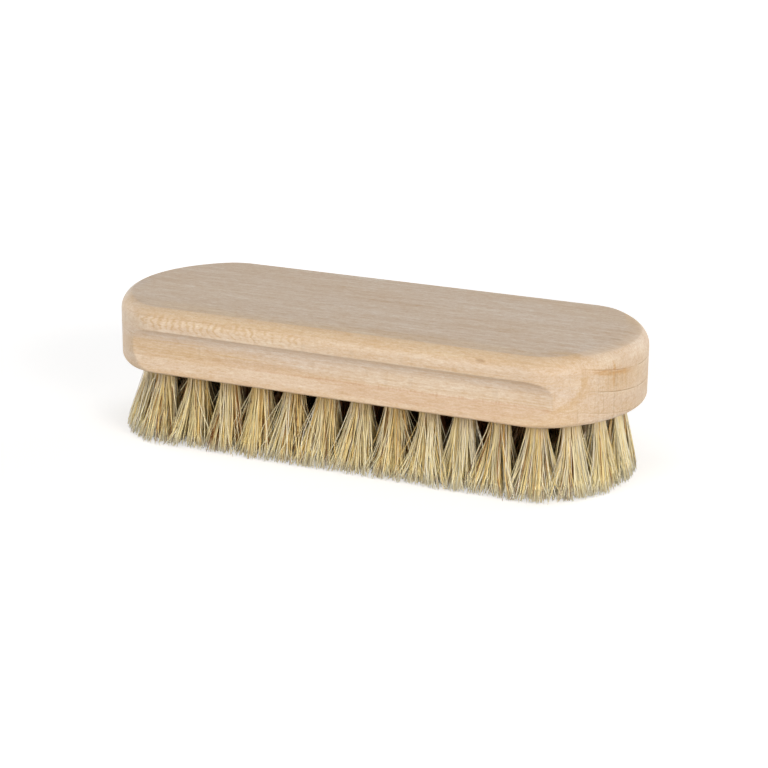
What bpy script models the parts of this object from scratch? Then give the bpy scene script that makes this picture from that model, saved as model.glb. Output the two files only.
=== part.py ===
"""Leather cleaning brush: a grooved wooden block with tufts of bristle in its underside.

Lengths are in metres and +Z is up. The origin is the middle of the plane in which the
bristle tips are trimmed, and +X runs along the block.
"""
import math

import bmesh
import bpy
from mathutils import Matrix, Vector

# Block, seen from above
block_length = 0.150
block_width = 0.060
corner_radius = 0.0153
end_bow = 0.0070  # how far an end swells out past its two corners
corner_limit_share = 0.9  # of half the width, the most that a corner may take
corner_steps = 8
end_steps = 20

# Block, seen from the side
block_height = 0.0182
top_round = 0.0045
bottom_round = 0.0015
top_round_steps = 5
bottom_round_steps = 2

# Finger groove along each side: an arc under its upper edge, an upright wall, then a flank that runs out
upper_band = 0.0015  # flat wall between the round-over and the groove
groove_depth = 0.0022
groove_arc_height = 0.0042  # from the upper edge down to the upright wall
groove_wall_height = 0.0030
flank_angle = math.radians(23)
groove_arc_steps = 8

# Blind holes for the tufts
hole_radius = 0.0028
hole_floor = 0.0072  # wood left above a hole
hole_sides = 10
least_wall = 0.0010  # thinnest wood allowed between two holes
ring_inset = 0.0075  # from the block's outline to the middle of an outer hole
corner_step = 0.0012  # how far the last hole of a side stands past the start of the corner
pattern_offset = 0.0008  # the holes are drilled this far off centre, towards +X
row_end_gap = 0.0115  # from the last hole of the centre row to the outer ring
side_tufts = 12
end_tufts = 5
centre_row_tufts = 9

# Tufts: a bundle folded over a wire staple, and the strands that fan out of it
fit_gap = 0.0003  # clearance between pieces that touch on the real brush
bristle_length = 0.0208  # from the underside of the block to the trimmed tips
strands_in_tuft = 8
strand_sides = 3
strand_root_radius = 0.0006
strand_tip_radius = 0.0010
strand_bite = 0.0010  # how far a strand reaches into the bundle
outward_splay = 0.0013  # how far the tips of an outer tuft lean out
trim_depth = 0.0005  # how much of each tip the trimming takes off
staple_thickness = 0.0005
staple_height = 0.0016
staple_proud = 0.0005  # how far the staple stands out of the folded end
staple_end_inset = 0.0002

overrun = 0.0050  # how far a cutter reaches past what it cuts
weld_distance = 0.00001
flat_angle = math.radians(1)  # faces that meet at less than this become one
sharp_angle = math.radians(30)  # edges sharper than this aren't shaded smooth

# Colours are linear
beech_colour = (0.68, 0.52, 0.36)
beech_roughness = 0.55
bristle_colour = (0.46, 0.36, 0.19)
bristle_roughness = 0.5

golden_turn = math.pi * (3 - math.sqrt(5))


def new_collection(name):
    """A collection in the scene, made if it isn't there yet."""
    collection = bpy.data.collections.get(name) or bpy.data.collections.new(name)
    if collection.name not in bpy.context.scene.collection.children:
        bpy.context.scene.collection.children.link(collection)
    return collection


def new_material(name, colour, roughness):
    material = bpy.data.materials.new(name)
    material.use_nodes = True
    material.diffuse_color = (*colour, 1)
    shader = material.node_tree.nodes["Principled BSDF"]
    shader.inputs["Base Color"].default_value = (*colour, 1)
    shader.inputs["Roughness"].default_value = roughness
    shader.inputs["Metallic"].default_value = 0
    return material


def new_object(name, mesh, collection, matrix=None):
    item = bpy.data.objects.new(name, mesh)
    collection.objects.link(item)
    item.matrix_world = matrix or Matrix()
    return item


def as_tool(item):
    """Marks a cutter, or a shape that is joined to another, as no piece of its own."""
    item.hide_render = True
    item.display_type = "WIRE"


def add_boolean(item, other, operation):
    modifier = item.modifiers.new(f"{operation.title()} {other.name}", "BOOLEAN")
    modifier.operation = operation
    modifier.object = other
    modifier.solver = "EXACT"


def shade_round(mesh):
    mesh.shade_smooth()
    mesh.set_sharp_from_angle(angle=sharp_angle)


def arc(centre, radius, start, end, steps):
    """Points on a circle, from one angle to another."""
    turns = [start + (end - start) * step / steps for step in range(steps + 1)]
    return [(centre[0] + radius * math.cos(turn), centre[1] + radius * math.sin(turn)) for turn in turns]


class Outline:
    """The block's outline from above, or the same outline drawn in by an inset.

    A side runs straight into a corner arc, and that into the flatter arc of the end.
    The two arcs are tangent, which sets the end's radius.
    """

    def __init__(self, inset=0.0):
        corner = min(corner_radius, corner_limit_share * block_width / 2)
        self.half_width = block_width / 2 - inset
        self.corner_y = block_width / 2 - corner
        self.corner_x = block_length / 2 - corner - end_bow
        self.corner = corner - inset
        reach = corner + end_bow
        end = (reach ** 2 + self.corner_y ** 2 - corner ** 2) / (2 * end_bow)
        self.end = end - inset
        self.end_x = block_length / 2 - end
        self.end_turn = math.asin(self.corner_y / (end - corner))
        self.corner_turn = math.pi / 2 - self.end_turn

    def points(self):
        """The whole outline, anticlockwise, with each point once."""
        front = arc((self.corner_x, -self.corner_y), self.corner, -math.pi / 2, -self.end_turn, corner_steps)
        end = arc((self.end_x, 0), self.end, -self.end_turn, self.end_turn, end_steps)
        back = arc((self.corner_x, self.corner_y), self.corner, self.end_turn, math.pi / 2, corner_steps)
        half = front + end[1:-1] + back
        return half + [(-x, -y) for x, y in half]

    def quarter_length(self):
        return self.corner_x + self.corner * self.corner_turn + self.end * self.end_turn

    def at(self, length):
        """Place and outward direction at a length along the outline from the middle of the front.

        The length runs towards +X and may reach the middle of the end.
        """
        if length <= self.corner_x:
            return Vector((length, -self.half_width)), Vector((0, -1))
        length -= self.corner_x
        if length <= self.corner * self.corner_turn:
            turn = -math.pi / 2 + length / self.corner
            centre, radius = Vector((self.corner_x, -self.corner_y)), self.corner
        else:
            turn = -self.end_turn + (length - self.corner * self.corner_turn) / self.end
            centre, radius = Vector((self.end_x, 0)), self.end
        outward = Vector((math.cos(turn), math.sin(turn)))
        return centre + outward * radius, outward


def count_along(run, most):
    """How many holes fit along a run between two holes, its ends included, up to the most wanted."""
    return max(2, min(most, 1 + int(run / (2 * hole_radius + least_wall))))


def ring_places():
    """Hole places and outward directions of the outer ring, anticlockwise from the front left."""
    outline = Outline(ring_inset)
    side_end = outline.corner_x + corner_step
    side_count = count_along(2 * side_end, side_tufts)
    end_run = 2 * (outline.quarter_length() - side_end)
    end_gaps = count_along(end_run, end_tufts + 2) - 1
    lengths = [side_end * (2 * step / (side_count - 1) - 1) for step in range(side_count)]
    lengths += [side_end + end_run * step / end_gaps for step in range(1, end_gaps)]
    places = []
    for length in lengths:
        past_end = max(0.0, length - outline.quarter_length())
        place, outward = outline.at(abs(length) - 2 * past_end)
        if length < 0:
            place.x, outward.x = -place.x, -outward.x
        if past_end:
            place.y, outward.y = -place.y, -outward.y
        places.append((place, outward))
    return places + [(-place, -outward) for place, outward in places]


def inner_places():
    """Hole places of the three staggered rows inside the ring, each outer row one hole short."""
    row_step = (block_width / 2 - ring_inset) / 2
    run = block_length - 2 * (ring_inset + row_end_gap)
    centre_count = count_along(run, centre_row_tufts)
    pitch = run / (centre_count - 1)
    places = []
    for row in (-1, 0, 1):
        count = centre_count - abs(row)
        places += [Vector((pitch * (step - (count - 1) / 2), row * row_step)) for step in range(count)]
    return places


def tuft_plan():
    """Name, place, outward lean and half the free room of every tuft."""
    ring = [(f"ring_tuft_{index:02d}", *spot) for index, spot in enumerate(ring_places(), 1)]
    inner = [(f"inner_tuft_{index:02d}", spot, Vector((0, 0))) for index, spot in enumerate(inner_places(), 1)]
    shift = Vector((pattern_offset, 0))
    tufts = []
    for name, place, outward in ring + inner:
        others = [other for other_name, other, _ in ring + inner if other_name != name]
        reach = min((place - other).length for other in others) / 2 - fit_gap / 2
        tufts.append((name, place + shift, outward * outward_splay, reach))
    return tufts


def solid_from_outline(name, points, thickness, matrix, collection):
    """A flat outline made solid: a filled 2D curve, extruded both ways, then made a mesh."""
    curve = bpy.data.curves.new(name, "CURVE")
    curve.dimensions = "2D"
    curve.fill_mode = "BOTH"
    curve.extrude = thickness / 2
    spline = curve.splines.new("POLY")
    spline.points.add(len(points) - 1)
    for point, (x, y) in zip(spline.points, points):
        point.co = (x, y, 0, 1)
    spline.use_cyclic_u = True
    drawn = new_object(f"{name}_curve", curve, collection, matrix)
    bpy.context.view_layer.update()
    mesh = bpy.data.meshes.new_from_object(drawn.evaluated_get(bpy.context.evaluated_depsgraph_get()))
    shape = bmesh.new()
    shape.from_mesh(mesh)
    bmesh.ops.remove_doubles(shape, verts=shape.verts, dist=weld_distance)
    bmesh.ops.dissolve_limit(shape, angle_limit=flat_angle, verts=shape.verts, edges=shape.edges)
    bmesh.ops.recalc_face_normals(shape, faces=shape.faces)
    shape.to_mesh(mesh)
    shape.free()
    solid = new_object(name, mesh, collection, drawn.matrix_world.copy())
    bpy.data.objects.remove(drawn)
    return solid


def round_rim(mesh, sign, radius, steps):
    """Rounds the upper (sign 1) or lower (sign -1) rim of a flat solid."""
    shape = bmesh.new()
    shape.from_mesh(mesh)
    level = max(vertex.co.z * sign for vertex in shape.verts)
    rim = [edge for edge in shape.edges
           if all(abs(vertex.co.z * sign - level) < weld_distance for vertex in edge.verts)]
    bmesh.ops.bevel(shape, geom=rim, offset=radius, offset_type="OFFSET", segments=steps, profile=0.5,
                    affect="EDGES", clamp_overlap=True)
    shape.to_mesh(mesh)
    shape.free()


def groove_section():
    """Section of the groove's cutter on the +Y side, as world Y and Z."""
    wall = block_width / 2
    top = bristle_length + block_height - top_round - upper_band
    radius = (groove_arc_height ** 2 + groove_depth ** 2) / (2 * groove_depth)
    centre = (wall - groove_depth + radius, top - groove_arc_height)
    start = math.pi - math.asin(groove_arc_height / radius)
    curve = arc(centre, radius, start, math.pi, groove_arc_steps)
    knee = (wall - groove_depth, centre[1] - groove_wall_height)
    low = bristle_length - overrun
    foot = knee[0] + (knee[1] - low) * math.tan(flank_angle)
    return curve + [knee, (foot, low), (wall + 2 * overrun, low), (wall + 2 * overrun, top)]


def make_block(tufts, parts, tools, material):
    middle = Matrix.Translation((0, 0, bristle_length + block_height / 2))
    block = solid_from_outline("wood_block", Outline().points(), block_height, middle, parts)
    round_rim(block.data, 1, top_round, top_round_steps)
    round_rim(block.data, -1, bottom_round, bottom_round_steps)

    shape = bmesh.new()
    depth = block_height - hole_floor + overrun
    for _, place, _, _ in tufts:
        low = bristle_length - overrun
        bmesh.ops.create_cone(shape, cap_ends=True, segments=hole_sides, radius1=hole_radius,
                              radius2=hole_radius, depth=depth,
                              matrix=Matrix.Translation((*place, low + depth / 2)))
    mesh = bpy.data.meshes.new("tuft_holes")
    shape.to_mesh(mesh)
    shape.free()
    holes = new_object("tuft_holes", mesh, tools)

    along_x = Matrix(((0, 0, 1, 0), (1, 0, 0, 0), (0, 1, 0, 0), (0, 0, 0, 1)))
    back = solid_from_outline("back_groove", groove_section(), block_length + 2 * overrun, along_x, tools)
    front = new_object("front_groove", back.data, tools, Matrix.Rotation(math.pi, 4, "Z") @ along_x)
    for tool in (holes, back, front):
        as_tool(tool)
        add_boolean(block, tool, "DIFFERENCE")
    shade_round(block.data)
    block.data.materials.append(material)
    return block


def lock_matrix(low, high):
    """Places a shape of unit height so that it leans from a low point to a high one, ends level."""
    lean = high - low
    return Matrix(((1, 0, lean.x, (low.x + high.x) / 2),
                   (0, 1, lean.y, (low.y + high.y) / 2),
                   (0, 0, lean.z, (low.z + high.z) / 2),
                   (0, 0, 0, 1)))


def make_tuft(name, place, lean, reach, turn, parts, tools, trimmer, material):
    """One tuft: the bundle in its hole, with the staple and the strands joined to it."""
    flat_share = math.cos(math.pi / hole_sides)  # of a radius, out to the middle of a flat side
    bundle_radius = hole_radius - fit_gap / flat_share
    bundle_top = bristle_length + block_height - hole_floor - fit_gap - staple_proud
    bundle_height = bundle_top - bristle_length

    shape = bmesh.new()
    bmesh.ops.create_cone(shape, cap_ends=True, segments=hole_sides, radius1=bundle_radius,
                          radius2=bundle_radius, depth=bundle_height,
                          matrix=Matrix.Translation((0, 0, bristle_length + bundle_height / 2)))
    mesh = bpy.data.meshes.new(name)
    shape.to_mesh(mesh)
    shape.free()
    tuft = new_object(name, mesh, parts, Matrix.Translation((*place, 0)))

    shape = bmesh.new()
    root_ring = bundle_radius * flat_share - strand_root_radius - staple_end_inset
    tip_ring = reach - strand_tip_radius
    for strand in range(strands_in_tuft):
        spin = turn + 2 * math.pi * strand / (strands_in_tuft - 1)
        outward = Vector((math.cos(spin), math.sin(spin), 0)) if strand else Vector((0, 0, 0))
        high = outward * root_ring + Vector((0, 0, bristle_length + strand_bite))
        low = outward * tip_ring + Vector((lean.x, lean.y, -trim_depth))
        bmesh.ops.create_cone(shape, cap_ends=True, segments=strand_sides, radius1=strand_tip_radius,
                              radius2=strand_root_radius, depth=1,
                              matrix=lock_matrix(low, high) @ Matrix.Rotation(spin, 4, "Z"))
    length = 2 * (bundle_radius * flat_share - staple_end_inset)
    middle = bundle_top + staple_proud - staple_height / 2
    bmesh.ops.create_cube(shape, size=1, matrix=Matrix.Translation((0, 0, middle)) @ Matrix.Diagonal(
        (length, staple_thickness, staple_height, 1)))
    mesh = bpy.data.meshes.new(f"{name}_strands")
    shape.to_mesh(mesh)
    shape.free()
    strands = new_object(f"{name}_strands", mesh, tools, tuft.matrix_world.copy())
    as_tool(strands)
    add_boolean(tuft, strands, "UNION")
    add_boolean(tuft, trimmer, "DIFFERENCE")
    shade_round(tuft.data)
    tuft.data.materials.append(material)
    return tuft


def make_trimmer(tools):
    """The block of space below the trimming plane, which cuts all tips level."""
    shape = bmesh.new()
    size = (block_length + 2 * overrun, block_width + 2 * overrun, overrun, 1)
    bmesh.ops.create_cube(shape, size=1,
                          matrix=Matrix.Translation((0, 0, -overrun / 2)) @ Matrix.Diagonal(size))
    mesh = bpy.data.meshes.new("tip_trimmer")
    shape.to_mesh(mesh)
    shape.free()
    trimmer = new_object("tip_trimmer", mesh, tools)
    as_tool(trimmer)
    return trimmer


def main():
    for item in list(bpy.data.objects):
        bpy.data.objects.remove(item)
    parts = new_collection("leather_cleaning_brush")
    tools = new_collection("cutters_and_joined_shapes")
    beech = new_material("beech", beech_colour, beech_roughness)
    bristle = new_material("bristle", bristle_colour, bristle_roughness)

    tufts = tuft_plan()
    make_block(tufts, parts, tools, beech)
    trimmer = make_trimmer(tools)
    for index, (name, place, lean, reach) in enumerate(tufts):
        make_tuft(name, place, lean, reach, index * golden_turn, parts, tools, trimmer, bristle)
    bpy.context.view_layer.update()
    print(f"{len(tufts)} tufts with {len(tufts) * strands_in_tuft} strands in all")


main()
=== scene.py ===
import math

import bmesh
import bpy
import numpy as np
from mathutils import Matrix, Vector
from mathutils.geometry import delaunay_2d_cdt


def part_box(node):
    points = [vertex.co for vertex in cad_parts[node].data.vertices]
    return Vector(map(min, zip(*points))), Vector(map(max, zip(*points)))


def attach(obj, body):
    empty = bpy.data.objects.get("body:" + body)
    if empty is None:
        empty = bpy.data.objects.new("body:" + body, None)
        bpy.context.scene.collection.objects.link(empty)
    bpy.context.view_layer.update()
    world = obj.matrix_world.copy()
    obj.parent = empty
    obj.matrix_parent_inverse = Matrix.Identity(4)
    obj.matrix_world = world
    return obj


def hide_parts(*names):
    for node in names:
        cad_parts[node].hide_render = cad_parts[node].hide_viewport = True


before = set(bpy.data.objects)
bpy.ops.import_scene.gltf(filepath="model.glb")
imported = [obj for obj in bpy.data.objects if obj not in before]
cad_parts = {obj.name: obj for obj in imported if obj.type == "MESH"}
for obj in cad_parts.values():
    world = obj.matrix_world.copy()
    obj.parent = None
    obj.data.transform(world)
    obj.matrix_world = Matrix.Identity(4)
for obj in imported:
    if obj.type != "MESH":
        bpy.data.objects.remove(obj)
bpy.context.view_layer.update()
mm = 0.001  # sizes are in millimetres here, and newPiece turns them into metres
print("frame loaded:", len(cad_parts), "nodes")


# Camera, set where the photograph was taken from
shot = dict(
    azimuth=24.25,
    elevation=17.29,
    roll=0.459,
    distance=574,
    target=(-0.345, 5.084, 15.366),
    lens=97.36,
    sensor=36,
)


def outwardTo(azimuth, elevation):
    # Direction from the object. The azimuth counts from the front towards the right end
    turn, rise = math.radians(azimuth), math.radians(elevation)
    return Vector((math.sin(turn) * math.cos(rise), -math.cos(turn) * math.cos(rise), math.sin(rise)))


def placeCamera(shot):
    # Looks at the target along an azimuth and an elevation, then rolls about the view
    back = outwardTo(shot["azimuth"], shot["elevation"])
    right = Vector((0, 0, 1)).cross(back).normalized()
    up = back.cross(right)
    axes = Matrix((right, up, back)).transposed() @ Matrix.Rotation(math.radians(shot["roll"]), 3, "Z")
    data = bpy.data.cameras.new("camera")
    data.lens = shot["lens"]
    data.sensor_width = shot["sensor"]
    camera = bpy.data.objects.new("camera", data)
    camera.matrix_world = axes.to_4x4()
    camera.location = (Vector(shot["target"]) + back * shot["distance"]) * mm
    bpy.context.scene.collection.objects.link(camera)
    bpy.context.scene.camera = camera


placeCamera(shot)
print("camera placed")


# Small helpers for meshes

def newPiece(name, points, faces, material):
    # A mesh from points in millimetres
    mesh = bpy.data.meshes.new(name)
    mesh.from_pydata((np.asarray(points) * mm).tolist(), [], faces)
    mesh.materials.append(material)
    piece = bpy.data.objects.new(name, mesh)
    bpy.context.scene.collection.objects.link(piece)
    return piece


def mergeDoubles(mesh, distance=0.002):
    # Points nearer together than this, in millimetres, become one
    shape = bmesh.new()
    shape.from_mesh(mesh)
    bmesh.ops.remove_doubles(shape, verts=shape.verts, dist=distance * mm)
    shape.to_mesh(mesh)
    shape.free()


def smoothBelow(mesh, angle):
    # Smooth shading, but for edges that turn by more than this angle in degrees
    mesh.shade_smooth()
    mesh.set_sharp_from_angle(angle=math.radians(angle))


def storeValues(mesh, name, values):
    # One value on each point of the mesh
    mesh.attributes.new(name, "FLOAT", "POINT").data.foreach_set("value", np.asarray(values, np.float32))


def gridFaces(rows, columns, start=0, closed=False):
    # Four-sided faces of a grid, its last column joined to its first if it is closed
    row, column = np.meshgrid(np.arange(rows - 1), np.arange(columns - (not closed)), indexing="ij")
    here = row * columns + column
    beside = row * columns + (column + 1) % columns
    return (start + np.stack([here, beside, beside + columns, here + columns], -1)).reshape(-1, 4)


def softMin(a, b, ease):
    # The smaller of two values, eased where they meet
    return np.minimum(a, b) - np.maximum(ease - np.abs(a - b), 0) ** 2 / (4 * ease)


def roundTurn(turn):
    # Points on the unit circle at these turns, in radians
    return np.stack([np.cos(turn), np.sin(turn)], -1)


# Small helpers for materials

def addNode(tree, kind, inputs=None, **settings):
    # A shader node: its inputs are values or the sockets that feed them
    made = tree.nodes.new("ShaderNode" + kind)
    for key, value in settings.items():
        setattr(made, key, value)
    for key, value in (inputs or {}).items():
        if isinstance(value, bpy.types.NodeSocket):
            tree.links.new(value, made.inputs[key])
        elif made.inputs[key].type == "RGBA":
            made.inputs[key].default_value = (*value, 1)
        else:
            made.inputs[key].default_value = value
    return made


def reckon(tree, operation, first, second=0.0, third=0.0):
    # One step of arithmetic on numbers
    return addNode(tree, "Math", {0: first, 1: second, 2: third}, operation=operation).outputs[0]


def timesPlus(tree, value, factor, added):
    # value * factor + added
    return reckon(tree, "MULTIPLY_ADD", value, factor, added)


def times(tree, *factors):
    # The product of all the factors
    product = factors[0]
    for factor in factors[1:]:
        product = reckon(tree, "MULTIPLY", product, factor)
    return product


def between(tree, value, low, high, newLow=0.0, newHigh=1.0):
    # A value eased from one range to another
    inputs = {"Value": value, "From Min": low, "From Max": high, "To Min": newLow, "To Max": newHigh}
    return addNode(tree, "MapRange", inputs, interpolation_type="SMOOTHSTEP").outputs[0]


def readValue(tree, name):
    # A value that storeValues put on the mesh
    return addNode(tree, "Attribute", attribute_name=name).outputs["Fac"]


def tinted(tree, colour, tint, *parts):
    # A colour taken towards a tint, by the product of these parts
    return addNode(tree, "Mix", {0: times(tree, *parts), 6: colour, 7: tint}, data_type="RGBA").outputs[2]


def colourRamp(tree, value, stops):
    # Colours at their places from 0 to 1
    made = addNode(tree, "ValToRGB", {"Fac": value})
    for place, colour in stops[2:]:
        made.color_ramp.elements.new(place)
    for element, (place, colour) in zip(made.color_ramp.elements, stops):
        element.position = place
        element.color = (*colour, 1)
    return made.outputs["Color"]


def stretchedNoise(tree, place, sizes, detail=2.0, roughness=0.5, shift=0.0):
    # Noise from 0 to 1 with blobs of these sizes along X, Y and Z, in the place's units
    mapped = addNode(tree, "Mapping", {"Vector": place, "Scale": [1 / size for size in sizes],
                                       "Location": (shift, shift, shift)})
    inputs = {"Vector": mapped.outputs[0], "Scale": 1.0, "Detail": detail, "Roughness": roughness}
    return addNode(tree, "TexNoise", inputs, noise_dimensions="3D").outputs["Fac"]


def patch(tree, place, centre, reach, fullShare=0.35):
    # 1 round the centre, out to a share of the reach on each axis, and eased to 0 at all of it
    mapped = addNode(tree, "VectorMath", {0: place, 1: centre}, operation="SUBTRACT").outputs[0]
    mapped = addNode(tree, "VectorMath", {0: mapped, 1: reach}, operation="DIVIDE").outputs[0]
    away = addNode(tree, "VectorMath", {0: mapped}, operation="LENGTH").outputs["Value"]
    return between(tree, away, 1.0, fullShare)


def newMaterial(name):
    # A material, its nodes and its shader
    material = bpy.data.materials.new(name)
    material.use_nodes = True
    return material, material.node_tree, material.node_tree.nodes["Principled BSDF"]


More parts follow.
